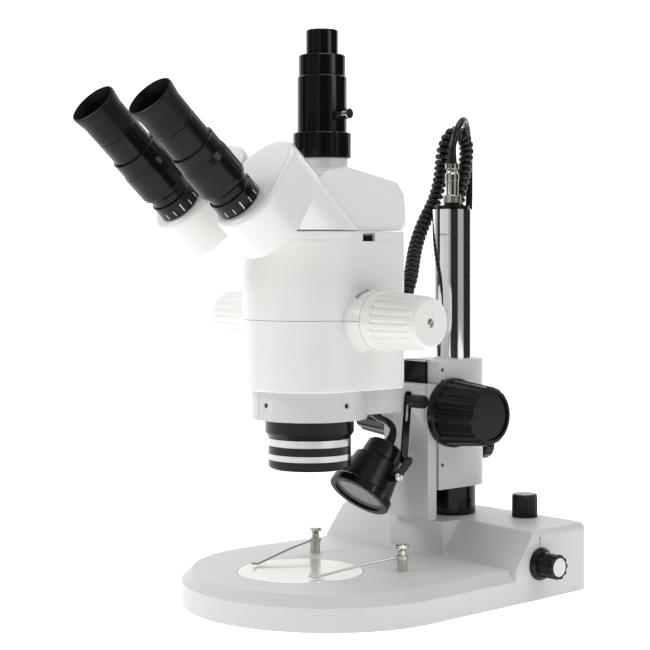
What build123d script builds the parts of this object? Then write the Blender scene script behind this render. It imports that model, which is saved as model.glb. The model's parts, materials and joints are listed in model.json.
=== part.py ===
from build123d import *
import math
import os

# Trinocular zoom stereo microscope on a post stand, in millimetres.
# The origin is on the floor under the middle of the stage plate.  +Z is up, the user sits at -Y
# and the user's right hand is at +X.

# ---- driving dimensions -------------------------------------------------------------------------
# base
BASE_R = 111.0          # radius of the round front of the base
BASE_CY = 27.0          # where that arc is centred
BASE_REAR_Y = 210.0
BASE_REAR_W = 105.0     # half-width at the rear edge
STAGE_Z = 25.0
WALL_Z = 17.0           # top of the vertical side wall, where the sloped band starts
BAND = 8.0              # how far the sloped band leans in
BOX_Z = 52.0            # top of the raised rear box
RAMP_FOOT_Y = 120.0
RAMP_TOP_Y = 141.0
PEDESTAL_W = 30.0       # half-width of the block under the post
SHELL = 4.0             # casting wall
PLATE_R = 47.5
PLATE_T = 6.0
DIMMER_AT = (54.0, 190.0, BOX_Z)
SWITCH_AT = (107.6, 148.0, 27.0)
CLIP_AT = [(50.0, 57.5), (-50.0, 57.5)]
CLIP_AIM = {1: 254.6, -1: 281.0}    # which way each spring arm points, degrees from +X
COVER_SCREWS = [(-70, -20), (70, -20), (-78, 110), (78, 110), (-70, 190), (70, 172)]
FEET = [(-62, -38), (62, -38), (-84, 185), (84, 185)]

# post and focus block
POST_Y = 162.0
POST_R = 16.0
POST_WALL = 2.5
POST_TOP = 301.0
COLLAR_R = 19.2
BLOCK_W = 25.0          # half-width of the focus block, and radius of its round back
BLOCK_BOT = 76.4
BLOCK_TOP = 178.0
BLOCK_FRONT_Y = 121.7
SLIDE_W = 11.8          # half-width of the dovetail slide at its face
SLIDE_BACK_Y = 129.0
FOCUS_Y = 135.2
FOCUS_Z = 137.0
PINION_R = 4.0          # pitch radius
GIB_Z = (171.0, 162.0, 96.0)
CLAMP_Z = 105.0

# carriage, arm and ring
CARRIAGE_Y0 = 109.5
CARRIAGE_Y1 = 119.0
CARRIAGE_BOT = 53.7
CARRIAGE_TOP = 160.0
AXIS_Y = 9.0            # optical axis of the zoom body
RING_R = 43.5
RING_BORE = 38.1
RING_BOT = 139.5
RING_TOP = 161.3
RING_SCREWS = (-90.0, 0.0, 180.0)    # where the ring's set screws sit, degrees from +X
RING_SCREW_Z = 151.0
ARM_W = 22.0            # half-width of the arm between plate and ring
CORNER_R = 21.0         # hollow curve under the arm, where it meets the plate

# zoom body and head
BODY_R = 51.0           # round front of the body and its half-width
BODY_REAR_Y = 64.0
BODY_BOT = 161.6
BODY_SEAM = 214.0       # parting line, at the height of the zoom knobs
BODY_TOP = 279.6
BODY_WALL = 3.0
ZOOM_Y = 22.0
LOCK_Y = 23.0
OBJECTIVE_BOT = 102.0
HEAD_BOT = 280.2
TUBE_Y = 21.5           # photo tube axis

# binocular part: everything here lies along a line that leans back by TILT
TILT = 42.3             # slope of the eyepiece tubes above the horizontal
EYE_X = 34.9            # half the distance between the eyepiece axes
EYE_Y = -85.0           # where the tube axis leaves the front of its prism housing
EYE_Z = 299.0
HOUSING_T = 34.0        # thickness of a prism housing along its tube axis
PIVOT_X = 29.0          # the housing turns about this line, PIVOT_V up the slope from the tube axis
PIVOT_V = 36.0
HOUSING_R = 27.6
TUBE_END_X = 37.5       # centre and radius of the housing's lower round end
TUBE_END_V = 4.0
TUBE_END_R = 26.5

# lamp
LAMP_FACE = (0.0, 58.7, 75.0)
LAMP_AIM = 50.0         # degrees below the horizontal, towards the user
LAMP_R = 25.4
LAMP_BACK = 21.5        # pivot behind the lamp face, along the lamp's axis
HANGER_X = 28.0         # inner face of the hanger's lower strap
STRAP_X = 22.3          # inner face of its upper strap, close to the arm
STRAP_T = 1.8
STRAP_R = 3.25          # half-width of the straps
HANGER_TURN = (0.0, 89.5, 149.0)    # where the thumbscrew goes into the arm
HANGER_KNEE = (85.0, 103.0)         # Y and Z of the step between the two straps
THUMB_R = 1.85          # shank of the hanger's thumbscrew

PLUG_TOP = POST_TOP + 35.42     # where the cord leaves its plug
CORD_D = 5.8            # plain cable
COIL_D = 12.5           # outer diameter of the curly stretch
FIT = 0.05              # radial running fit
GAP = 0.3               # air between separate bodies


# ---- helpers ------------------------------------------------------------------------------------
def save(node, shape):
    """Write one node's STEP file."""
    export_step(shape, f"parts/{node}.step")


def rod(radius, length, at, axis="z"):
    """A cylinder that starts at a point and runs along a row axis."""
    turn = {"z": Rot(0, 0, 0), "x": Rot(0, 90, 0), "y": Rot(-90, 0, 0)}[axis]
    return Pos(*at) * turn * Pos(0, 0, length / 2) * Cylinder(radius, length)


def block(x0, x1, y0, y1, z0, z1):
    """A box between two corners."""
    return Pos((x0 + x1) / 2, (y0 + y1) / 2, (z0 + z1) / 2) * Box(x1 - x0, y1 - y0, z1 - z0)


def turned(profile):
    """A turned piece about Z from (radius, height) points."""
    points = [(r, 0, h) for r, h in profile]
    face = make_face(Polyline(*points, close=True))
    return revolve(face, Axis.Z)


def fluted(shape, count, cutter_r, pitch_r, z0, z1):
    """Cut round flutes along Z into a turned piece."""
    for i in range(count):
        turn = Rot(0, 0, 360 * i / count)
        shape -= turn * Pos(pitch_r, 0, (z0 + z1) / 2) * Cylinder(cutter_r, z1 - z0)
    return shape


def to_x(at, sign=1):
    """Place a piece made about Z so that its axis points along +X or -X."""
    return Pos(*at) * Rot(0, 90 * sign, 0)


# the tube axis frame: local +Z runs up the eyepiece tube, local +Y up the housing face
TUBE_FRAME = Pos(0, EYE_Y, EYE_Z) * Rot(90 - TILT, 0, 0)
# the lamp frame: local +Z runs out of the lamp's face
LAMP_FRAME = Pos(*LAMP_FACE) * Rot(90 + LAMP_AIM, 0, 0)


# ---- base ---------------------------------------------------------------------------------------
def base_outline(inset):
    """Plan of the base, moved inwards by inset: a round front and two tapering sides."""
    lean = math.atan2(BASE_R - BASE_REAR_W, BASE_REAR_Y - BASE_CY)
    radius = BASE_R - inset
    rear_y = BASE_REAR_Y - inset
    tx = radius * math.cos(lean)
    ty = BASE_CY + radius * math.sin(lean)
    rx = tx - (rear_y - ty) * math.tan(lean)
    corner = max(12.0 - inset, 2.0)
    front = ThreePointArc((-tx, ty), (0, BASE_CY - radius), (tx, ty))
    sides = Polyline((tx, ty), (rx, rear_y), (-rx, rear_y), (-tx, ty))
    face = make_face([front, sides])
    corners = face.vertices().sort_by(Axis.Y)[-2:]
    return fillet(corners, corner)


def base_solid(inset):
    """The outer form of the base, or of its hollow when inset is the wall."""
    wall = extrude(base_outline(inset), WALL_Z)
    low = Pos(0, 0, WALL_Z) * base_outline(inset)
    high = Pos(0, 0, STAGE_Z - inset) * base_outline(inset + BAND)
    deck = loft([low, high])
    profile = make_face(Polyline(
        (0, RAMP_FOOT_Y + inset, STAGE_Z - inset),
        (0, RAMP_TOP_Y + inset, BOX_Z - inset),
        (0, BASE_REAR_Y - inset, BOX_Z - inset),
        (0, BASE_REAR_Y - inset, WALL_Z),
        (0, RAMP_FOOT_Y + inset, WALL_Z),
        close=True,
    ))
    box = extrude(profile, BASE_R, dir=(1, 0, 0), both=True)
    box &= extrude(base_outline(inset), BOX_Z)
    return wall + deck + box


def base_shell():
    outer = base_solid(0)
    outer += block(-PEDESTAL_W, PEDESTAL_W, RAMP_FOOT_Y + 1, RAMP_TOP_Y + 10, WALL_Z, BOX_Z)
    soft = outer.edges().filter_by(lambda e: e.center().Z > BOX_Z - 0.1)
    soft = [e for e in soft if abs(e.center().X) > 60 or e.center().Y > RAMP_TOP_Y + 30]
    outer = fillet(soft, 5.0)
    shell = outer - base_solid(SHELL)
    # a ledge ring that carries the plate, open in the middle for the light
    ledge_z = STAGE_Z - PLATE_T - SHELL
    shell += rod(PLATE_R + 4, STAGE_Z - SHELL + 1 - ledge_z, (0, 0, ledge_z))
    shell -= rod(PLATE_R - 4, BOX_Z, (0, 0, ledge_z - 1))
    shell -= rod(PLATE_R + 0.25, BOX_Z, (0, 0, STAGE_Z - PLATE_T))
    # socket for the post, down from the pedestal's top
    boss = rod(POST_R + 6, BOX_Z - 12, (0, POST_Y, 10))
    shell += boss
    shell -= rod(POST_R + FIT, BOX_Z, (0, POST_Y, 14))
    shell -= rod(6, 20, (0, POST_Y, 5))
    # holes for the brightness control, the switch, the power inlet and the clips
    shell -= rod(3.6, 12, DIMMER_AT[:2] + (BOX_Z - 8,))
    shell -= to_x(SWITCH_AT) * Cylinder(3.6, 30)
    shell -= block(-14.2, 14.2, BASE_REAR_Y - 10, BASE_REAR_Y + 2, 14.8, 35.2)
    for x, y in CLIP_AT:
        shell -= rod(2.05, 12, (x, y, STAGE_Z - 8))
    # pillars that the bottom cover screws into
    for x, y in COVER_SCREWS:
        roof = BOX_Z if y > RAMP_TOP_Y else STAGE_Z
        shell += rod(5, roof - SHELL - 2.6, (x, y, 3.0))
        shell -= rod(1.6, 10, (x, y, 2.0))
    return shell


def bottom_cover():
    cover = Pos(0, 0, 1.0) * extrude(base_outline(SHELL + GAP), 2.0)
    for x, y in COVER_SCREWS:
        cover -= rod(1.8, 6, (x, y, 0))
    for x, y in FEET:
        cover -= rod(8.0, 6, (x, y, -1))
    return cover


def cover_screws():
    one = rod(2.8, 0.8, (0, 0, 0.2)) + rod(1.55, 9.0, (0, 0, 0.9))
    return Compound([Pos(x, y, 0) * one for x, y in COVER_SCREWS])


def rubber_feet():
    one = rod(9.5, 1.0, (0, 0, 0)) + rod(7.9, 3.4, (0, 0, 0.9)) + rod(9.5, 1.2, (0, 0, 3.1))
    return Compound([Pos(x, y, 0) * one for x, y in FEET])


def stage_plate():
    plate = Pos(0, 0, STAGE_Z - PLATE_T / 2 + 0.1) * Cylinder(PLATE_R, PLATE_T)
    return chamfer(plate.edges().sort_by(Axis.Z)[-1], 0.5)


def led_board():
    board = Pos(0, 0, 12.8) * Cylinder(PLATE_R - 5, 1.6)
    for i in range(12):
        turn = Rot(0, 0, 30 * i)
        board += turn * Pos(30, 0, 14.3) * Box(4, 4, 1.8)
    board += Pos(0, 0, 14.3) * Box(4, 4, 1.8)
    return board


def power_board():
    board = block(-62, -26, 140, 196, 12, 13.6)
    board += block(-58, -38, 146, 166, 13.4, 30)
    board += rod(6, 18, (-32, 180, 13.4))
    return board


def power_inlet():
    body = block(-14, 14, BASE_REAR_Y - 22, BASE_REAR_Y + 0.2, 15, 35)
    flange = block(-17, 17, BASE_REAR_Y + 0.05, BASE_REAR_Y + 2.2, 12.5, 37.5)
    inlet = body + flange
    inlet -= block(-11.5, 11.5, BASE_REAR_Y - 13, BASE_REAR_Y + 3, 17.5, 32.5)
    for x in (-7, 0, 7):
        inlet += block(x - 1, x + 1, BASE_REAR_Y - 14, BASE_REAR_Y - 1, 23, 27)
    return inlet


def dimmer_knob():
    """Brightness knob on top of the rear box, with its spindle."""
    knob = turned([(0, 0), (10.2, 0), (10.2, 17), (9.2, 18), (0, 18)])
    knob = fluted(knob, 18, 1.1, 10.7, -1, 15.4)
    knob += rod(3.5, 12, (0, 0, -11.9))
    return Pos(*DIMMER_AT) * Pos(0, 0, GAP) * knob


def switch_knob():
    """Stepped rotary knob with its spindle: a wide skirt, a scalloped grip and a seat for the cap."""
    skirt = turned([(0, 0), (12.5, 0), (12.3, 1.4), (10.2, 4.2), (0, 4.2)])
    grip = fluted(rod(9.4, 14.4, (0, 0, 4.1)), 10, 1.9, 10.3, 5.0, 20)
    knob = skirt + grip - rod(7.0, 1.2, (0, 0, 17.8)) + rod(3.5, 12, (0, 0, -11.9))
    return to_x(SWITCH_AT) * Pos(0, 0, GAP) * knob


def switch_cap():
    return to_x(SWITCH_AT) * rod(6.95, 0.9, (0, 0, 18.15))


# ---- stage clips --------------------------------------------------------------------------------
def clip_posts():
    """Turned posts with a clamp screw on top of each, feet in the stage."""
    one = turned([
        (0, -6), (2.0, -6), (2.0, 0.05), (4, 0.05), (4, 8.6), (2.1, 8.6), (2.1, 12.0), (3.4, 12.0),
        (3.4, 15.0), (2.6, 15.8), (5.2, 17.4), (5.2, 19.2), (4.6, 19.8), (0, 19.8),
    ])
    return Compound([Pos(x, y, STAGE_Z) * one for x, y in CLIP_AT])


def clip_arm(side):
    """A springy wire arm that reaches over the plate, with an eye round its post."""
    path = FilletPolyline((3.5, 0, 10.2), (30, 0, 7.6), (70, 0, 1.5), (77, 0, 2.6), radius=4)
    wire = sweep(Plane(origin=path @ 0, z_dir=path % 0) * Circle(0.9), path=path)
    eye = turned([(2.15, 8.9), (5.0, 8.9), (5.0, 11.6), (2.15, 11.6)])
    x, y = CLIP_AT[0 if side > 0 else 1]
    return Pos(x, y, STAGE_Z) * Rot(0, 0, CLIP_AIM[side]) * (wire + eye)


# ---- post ---------------------------------------------------------------------------------------
def post_tube():
    tube = rod(POST_R, POST_TOP - 14.2, (0, POST_Y, 14.2))
    tube = chamfer(tube.edges().sort_by(Axis.Z)[-1], 1.8, 4.5)
    return tube - rod(POST_R - POST_WALL, POST_TOP, (0, POST_Y, 10))


def post_cap():
    """Black cap pressed in the post's top, with the lamp socket standing in it."""
    cap = rod(14.4, 1.3, (0, POST_Y, POST_TOP + 0.02))
    cap += rod(POST_R - POST_WALL - 0.05, 6, (0, POST_Y, POST_TOP - 5.9))
    return cap + rod(6.6, 3.3, (0, POST_Y, POST_TOP + 0.1))


def cable_plug():
    """The plug on the lamp cord: a knurled nut, a plain body and a cable clamp."""
    z = POST_TOP + 3.42
    nut = turned([(0, z), (7.0, z), (7.4, z + 0.5), (7.4, z + 5.8), (7.0, z + 6.3), (0, z + 6.3)])
    nut = fluted(nut, 28, 0.45, 7.55, z - 1, z + 8)
    body = turned([
        (0, z + 6), (5.2, z + 6), (5.2, z + 18), (5.7, z + 18.2), (5.7, z + 23.5), (5.0, z + 24.5),
        (4.4, z + 26), (4.4, z + 27.5), (5.6, z + 28), (5.6, z + 32), (0, z + 32),
    ])
    return Pos(0, POST_Y, 0) * (nut + body)


def stop_collar():
    ring = rod(COLLAR_R, BLOCK_BOT - BOX_Z - 2 * GAP, (0, POST_Y, BOX_Z + GAP))
    ring = chamfer(ring.edges(), 0.6) - rod(POST_R + FIT, 60, (0, POST_Y, 40))
    return ring - rod(2.2, 12, (POST_R - 2, POST_Y, BOX_Z + 12), "x")


# ---- focus block --------------------------------------------------------------------------------
def dovetail(width, y0, y1, z0, z1):
    """A bar whose sides flare backwards by a little, as a dovetail does."""
    flare = (y1 - y0) * 0.3
    wide = width + flare
    face = make_face(Polyline((-width, y0), (width, y0), (wide, y1), (-wide, y1), close=True))
    return Pos(0, 0, z0) * extrude(face, z1 - z0)


def focus_block():
    height = BLOCK_TOP - BLOCK_BOT
    body = block(-BLOCK_W, BLOCK_W, BLOCK_FRONT_Y, POST_Y, BLOCK_BOT, BLOCK_TOP)
    body += rod(BLOCK_W, height, (0, POST_Y, BLOCK_BOT))
    rims = body.edges().filter_by(lambda e: e.center().Z > BLOCK_TOP - 0.1)
    body = fillet(rims, 1.2)
    body -= rod(POST_R + FIT, height + 10, (0, POST_Y, BLOCK_BOT - 5))
    body -= dovetail(SLIDE_W + GAP, BLOCK_FRONT_Y - 1, SLIDE_BACK_Y + GAP, BLOCK_BOT - 5, BLOCK_TOP + 5)
    # room for the rack, and the cross bore with its pinion pocket
    body -= block(-4.4, 4.4, SLIDE_BACK_Y, 131.6, BLOCK_BOT - 5, BLOCK_TOP + 5)
    body -= rod(7.05, 2 * BLOCK_W + 10, (-BLOCK_W - 5, FOCUS_Y, FOCUS_Z), "x")
    # holes for the gib screws on both sides, and the clamp screw at the back
    for z in GIB_Z:
        body -= rod(1.6, 2 * BLOCK_W + 10, (-BLOCK_W - 5, BLOCK_FRONT_Y + 4.2, z), "x")
    body -= rod(3.05, 20, (0, POST_Y + POST_R - 3, CLAMP_Z), "y")
    return body


def gib_screws():
    screws = []
    for z in GIB_Z:
        for side in (1, -1):
            at = (side * (BLOCK_W - 1.2), BLOCK_FRONT_Y + 4.2, z)
            one = to_x(at, side) * (rod(1.5, 6.0, (0, 0, -6.0)) - extrude(RegularPolygon(0.8, 6), -1.6))
            screws.append(one)
    return Compound(screws)


def pinion_bushes():
    """Two sleeves that carry the pinion shaft in the block."""
    length = 10.0
    bushes = []
    for side in (1, -1):
        sleeve = rod(7.0, length, (0, 0, 0)) - rod(3.55, 3 * length, (0, 0, -length))
        bushes.append(to_x((side * (BLOCK_W - length), FOCUS_Y, FOCUS_Z), side) * sleeve)
    return Compound(bushes)


def clamp_screw():
    """Thumbscrew at the back that locks the block on the post."""
    start = POST_Y + POST_R + 0.2
    head = turned([(0, 0), (7, 0), (12, 3), (12, 12), (11, 13), (0, 13)])
    head = fluted(head, 12, 1.6, 12.8, 2, 14)
    screw = rod(3.0, BLOCK_W - POST_R + 1.2, (0, start, CLAMP_Z), "y")
    return screw + Pos(0, POST_Y + BLOCK_W + 0.8, CLAMP_Z) * Rot(-90, 0, 0) * head


def pinion_shaft():
    shaft = rod(3.5, 2 * BLOCK_W + 56, (-BLOCK_W - 28, FOCUS_Y, FOCUS_Z), "x")
    teeth = rod(PINION_R - 0.3, 15, (-7.5, FOCUS_Y, FOCUS_Z), "x")
    return shaft + teeth


def focus_knob(side):
    """Big tapered focus knob: a plain flange, a ribbed grip and a dished end with a raised rim."""
    body = turned([
        (0, 0), (27.4, 0), (27.4, 5.0), (26.2, 6.0), (26.2, 7.0), (22.9, 41.5), (20.8, 43.5), (18.6, 43.5),
        (18.6, 41.2), (17.4, 41.2), (17.4, 42.0), (0, 42.0),
    ])
    count = 20
    for i in range(count):
        turn = Rot(0, 0, 360 * i / count)
        body -= turn * Pos(25.5, 0, 26.5) * Rot(0, -5.4, 0) * Cylinder(2.5, 38)
    body -= rod(3.52, 30, (0, 0, -1))
    at = (side * (BLOCK_W + 0.6), FOCUS_Y, FOCUS_Z)
    return to_x(at, side) * body


# ---- carriage, arm and ring ---------------------------------------------------------------------
def carriage():
    """Front plate of the focus slide with its arm and the ring that holds the zoom body."""
    plate = block(-BLOCK_W, BLOCK_W, CARRIAGE_Y0, CARRIAGE_Y1, CARRIAGE_BOT, CARRIAGE_TOP)
    arm = block(-ARM_W, ARM_W, AXIS_Y + 30, CARRIAGE_Y0 + 1, RING_BOT + 1, RING_TOP - 1)
    # the hollow curve under the arm
    curve_y = CARRIAGE_Y0 - CORNER_R
    curve_z = RING_BOT + 1 - CORNER_R
    corner = block(-ARM_W, ARM_W, curve_y, CARRIAGE_Y0 + 1, curve_z, RING_BOT + 2)
    arm += corner - rod(CORNER_R, 2 * ARM_W + 2, (-ARM_W - 1, curve_y, curve_z), "x")
    ring = Pos(0, AXIS_Y, 0) * rod(RING_R, RING_TOP - RING_BOT, (0, 0, RING_BOT))
    for angle in RING_SCREWS:
        turn = Pos(0, AXIS_Y, 0) * Rot(0, 0, angle)
        ring -= turn * block(RING_R - 1.2, RING_R + 4, -9, 9, RING_BOT - 1, RING_TOP + 1)
    body = plate + arm + ring
    body -= Pos(0, AXIS_Y, 0) * rod(RING_BORE, 40, (0, 0, RING_BOT - 10))
    for angle in RING_SCREWS:
        turn = Pos(0, AXIS_Y, RING_SCREW_Z) * Rot(0, 0, angle)
        body -= turn * rod(2.05, 12, (RING_BORE - 4, 0, 0), "x")
    # blind hole for the lamp hanger's thumbscrew
    body -= rod(THUMB_R + FIT, ARM_W, (ARM_W / 2 + 0.5, HANGER_TURN[1], HANGER_TURN[2]), "x")
    return body


def dovetail_slide():
    """Dovetail bar on the back of the carriage, with the rack down its middle."""
    top = BLOCK_TOP - 0.6
    bar = dovetail(SLIDE_W, BLOCK_FRONT_Y - 0.6, SLIDE_BACK_Y, 62, top)
    bar += block(-SLIDE_W, SLIDE_W, CARRIAGE_Y1 + 0.02, BLOCK_FRONT_Y - 0.5, 62, top)
    rack = block(-3.8, 3.8, SLIDE_BACK_Y - 0.5, SLIDE_BACK_Y + 1.6, 64, 176)
    pitch = 4.0
    for i in range(26):
        z = 68 + pitch * i
        rack -= block(-5, 5, SLIDE_BACK_Y + 0.4, SLIDE_BACK_Y + 3, z, z + pitch / 2)
    return bar + rack


# ---- zoom body ----------------------------------------------------------------------------------
def body_outline(inset):
    """Plan of the zoom body: round in front, flat sides, rounded rear corners."""
    r = BODY_R - inset
    rear = BODY_REAR_Y - inset
    front = ThreePointArc((-r, AXIS_Y), (0, AXIS_Y - r), (r, AXIS_Y))
    sides = Polyline((r, AXIS_Y), (r, rear), (-r, rear), (-r, AXIS_Y))
    face = make_face([front, sides])
    corners = face.vertices().sort_by(Axis.Y)[-2:]
    return fillet(corners, 9.0 - inset)


def boss(side):
    """Round boss on the side of the body that the zoom knob runs against."""
    body = turned([(0, 0), (23.6, 0), (23.0, 8), (22.4, 15.6), (0, 15.6)])
    return to_x((side * (BODY_R - 1), ZOOM_Y, BODY_SEAM), side) * body


def casing(z0, z1, closed_top):
    """One half of the body casing between two heights, hollow and open at the parting line."""
    outer = Pos(0, 0, z0) * extrude(body_outline(0), z1 - z0)
    edge_z = z1 if closed_top else z0
    rim = outer.edges().filter_by(lambda e: abs(e.center().Z - edge_z) < 0.1)
    outer = fillet(rim, 1.6)
    low = z0 - 1 if closed_top else z0 + BODY_WALL
    high = z1 - BODY_WALL if closed_top else z1 + 1
    hollow = Pos(0, 0, low) * extrude(body_outline(BODY_WALL), high - low)
    half = block(-200, 200, -200, 200, z0, z1)
    bosses = (boss(1) + boss(-1)) & half
    shell = outer - hollow + (bosses - hollow)
    shell -= rod(6.05, 300, (-150, ZOOM_Y, BODY_SEAM), "x")
    return shell


def body_lower():
    shell = casing(BODY_BOT, BODY_SEAM - 0.15, False)
    neck = Pos(0, AXIS_Y, 0) * rod(RING_BORE - FIT, BODY_BOT - RING_BOT + 2, (0, 0, RING_BOT))
    shell += neck
    return shell - Pos(0, AXIS_Y, 0) * rod(31.0, 60, (0, 0, RING_BOT - 5))


def body_upper():
    shell = casing(BODY_SEAM + 0.15, BODY_TOP, True)
    # shallow groove round the collar, the lock window and the light opening
    ring = Pos(0, 0, BODY_TOP - 7) * (extrude(body_outline(-2), 0.6) - extrude(body_outline(0.4), 0.6))
    shell -= ring
    shell -= block(BODY_R - 5, BODY_R + 3, LOCK_Y - 6, LOCK_Y + 6, BODY_TOP - 7.5, BODY_TOP - 1.4)
    shell -= Pos(0, AXIS_Y, 0) * rod(30.0, 20, (0, 0, BODY_TOP - 10))
    # window for the zoom scale on the right boss
    window = block(BODY_R + 2, BODY_R + 9.5, ZOOM_Y - 16, ZOOM_Y - 3, BODY_SEAM + 14, BODY_SEAM + 30)
    depth = rod(21.2, 40, (BODY_R - 4, ZOOM_Y, BODY_SEAM), "x")
    return shell - (window - depth)


def head_lock_screw():
    x = BODY_R - BODY_WALL - 2.2
    body = block(x, x + 2.0, LOCK_Y - 5.6, LOCK_Y + 5.6, BODY_TOP - 7.2, BODY_TOP - 3.2)
    for k in (-3, 0.2):
        body += rod(1.5, 4.4, (x + 1, LOCK_Y + k, BODY_TOP - 5.2), "x")
    return body


def channel_tubes():
    """The two optical channels inside the zoom body, tubes with their lenses cemented in."""
    one = rod(9.5, 92, (0, AXIS_Y, 182)) - rod(8.2, 110, (0, AXIS_Y, 175))
    for z in (186, 226, 258):
        one += rod(8.4, 3.4, (0, AXIS_Y, z))
    shelf = Pos(0, 0, 236) * extrude(body_outline(BODY_WALL + 0.02), 3)
    shelf &= block(-60, 60, AXIS_Y - 22, 40, 230, 240)
    shelf -= rod(9.0, 20, (13.5, AXIS_Y, 230)) + rod(9.0, 20, (-13.5, AXIS_Y, 230))
    return shelf + Pos(13.5, 0, 0) * one + Pos(-13.5, 0, 0) * one


def zoom_shaft():
    """Cross shaft between the zoom knobs: thick in the bosses, slim where it passes the optics."""
    reach = BODY_R + 46
    shaft = rod(3.0, 2 * reach, (-reach, ZOOM_Y, BODY_SEAM), "x")
    for side in (1, -1):
        shaft += to_x((side * 40, ZOOM_Y, BODY_SEAM), side) * rod(6.0 - FIT, reach - 40, (0, 0, 0))
    return shaft


def zoom_knob(side):
    """Tapered ribbed knob with a rounded outer rim."""
    length = 50.6
    body = turned([
        (0, 0), (22.0, 0), (22.0, 4), (19.3, 44), (18.4, 48.4), (16.2, length), (0, length),
    ])
    count = 24
    for i in range(count):
        turn = Rot(0, 0, 360 * i / count)
        body -= turn * Pos(21.45, 0, 31) * Rot(0, -3.8, 0) * Cylinder(2.0, 42)
    body -= rod(6.0 + 0.02, 45, (0, 0, -1))
    body -= rod(3.3, 2.2, (0, 0, length - 2.0))
    at = (side * (BODY_R + 14.6 + GAP), ZOOM_Y, BODY_SEAM)
    return to_x(at, side) * body


# ---- objective ----------------------------------------------------------------------------------
def objective_mount():
    """Black barrel just under the ring, screwed into the body's neck."""
    face = RING_BOT - 0.02
    mount = turned([(22, face), (33.6, face), (33.6, 129.2), (31.0, 125.2), (22, 125.2)])
    thread = turned([(26.5, face - 0.1), (30.95, face - 0.1), (30.95, face + 14), (26.5, face + 14)])
    return Pos(0, AXIS_Y, 0) * (mount + thread)


def objective_barrel():
    z = OBJECTIVE_BOT
    barrel = turned([
        (24.5, z + 2.0), (27.0, z + 0.4), (29.8, z), (31.2, z + 1.6), (31.2, z + 6.9), (30.2, z + 6.9),
        (30.2, z + 11.3), (31.2, z + 11.3), (31.2, z + 17.4), (30.2, z + 17.4), (30.2, z + 22.8),
        (31.0, z + 22.8), (31.0, z + 23.15), (24.5, z + 23.15),
    ])
    return Pos(0, AXIS_Y, 0) * barrel


def objective_rings():
    z = OBJECTIVE_BOT
    low = turned([(30.22, z + 6.95), (31.4, z + 6.95), (31.4, z + 11.25), (30.22, z + 11.25)])
    high = turned([(30.22, z + 17.45), (31.4, z + 17.45), (31.4, z + 22.75), (30.22, z + 22.75)])
    return Compound([Pos(0, AXIS_Y, 0) * low, Pos(0, AXIS_Y, 0) * high])


def objective_lens():
    z = OBJECTIVE_BOT + 4.0
    dome = Pos(0, AXIS_Y, z + 90) * Sphere(90)
    glass = rod(24.45, 12, (0, AXIS_Y, z - 2)) & dome
    return glass


# ---- head ---------------------------------------------------------------------------------------
def head_profile():
    """Side view of the head: an inclined front for the prism housings and a falling top."""
    front_low = (TUBE_FRAME * Pos(0, -13, -HOUSING_T - GAP)).position
    front_high = (TUBE_FRAME * Pos(0, 63, -HOUSING_T - GAP)).position
    run = (HEAD_BOT - front_low.Z) / math.tan(math.radians(90 - TILT))
    return make_face(Polyline(
        (0, front_low.Y + run, HEAD_BOT), (0, front_high.Y, front_high.Z), (0, 4, 326.5), (0, 60, 315.5),
        (0, 66, 308), (0, 67.5, HEAD_BOT + 4), (0, BODY_REAR_Y, HEAD_BOT), close=True,
    ))


def head_shell():
    body = extrude(head_profile(), BODY_R - 3, dir=(1, 0, 0), both=True)
    uprights = body.edges().filter_by(lambda e: e.center().Y > 58 and abs(e.center().X) > 40)
    body = fillet(uprights, 7.0)
    # seats behind the two prism housings
    for side in (1, -1):
        seat = Pos(side * PIVOT_X, PIVOT_V, -HOUSING_T - GAP - 26) * Cylinder(HOUSING_R - 0.5, 52)
        body += (TUBE_FRAME * seat) & block(-60, 60, -90, 30, HEAD_BOT, 345)
    # neck of the photo tube
    body += rod(19.6, 30, (0, TUBE_Y, 305.0))
    # hollow with room for the prisms
    body -= block(-40, 40, -8, 56, HEAD_BOT + 4, 309)
    for side in (1, -1):
        body -= rod(9.0, 20, (side * 13.5, AXIS_Y, HEAD_BOT - 5))
        light = Pos(side * PIVOT_X, PIVOT_V, -HOUSING_T - 30) * Cylinder(9.0, 60)
        body -= TUBE_FRAME * light
    body -= rod(15.0, 60, (0, TUBE_Y, 300))
    return body


# ---- photo tube ---------------------------------------------------------------------------------
def photo_clamp_ring():
    """Ribbed ring that clamps the photo tube on the head's neck."""
    ring = turned([
        (14.92, 17.5), (19.62, 17.5), (19.62, 0), (21.4, 0), (22.0, 0.6), (22.0, 18.6), (21.4, 19.2),
        (14.92, 19.2),
    ])
    return Pos(0, TUBE_Y, 335.2) * fluted(ring, 24, 1.1, 22.7, -1, 21)


def photo_tube():
    """Black photo tube that drops into the head's neck."""
    tube = turned([
        (12.26, 341.0), (14.9, 341.0), (14.9, 354.42), (18.8, 354.42), (18.8, 396.6), (18.0, 397.4),
        (12.26, 397.4),
    ])
    return Pos(0, TUBE_Y, 0) * tube - rod(2.05, 10, (11.5, TUBE_Y, 367.5), "x")


def photo_adapter():
    """Camera adapter: a slim tube inside the photo tube with a wider sleeve where it shows."""
    tube = turned([
        (10.4, 372), (12.2, 372), (12.2, 397.42), (17.2, 397.42), (17.8, 398.2), (17.8, 412.6),
        (17.2, 413.4), (12.2, 413.4), (12.2, 431.8), (11.6, 432.6), (10.4, 432.6),
    ])
    return Pos(0, TUBE_Y, 0) * tube


def photo_lock_screw():
    screw = rod(2.0, 13.6, (12.9, TUBE_Y, 367.5), "x")
    return screw + chamfer(rod(4.0, 5.0, (26.4, TUBE_Y, 367.5), "x").edges(), 0.4)


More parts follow.
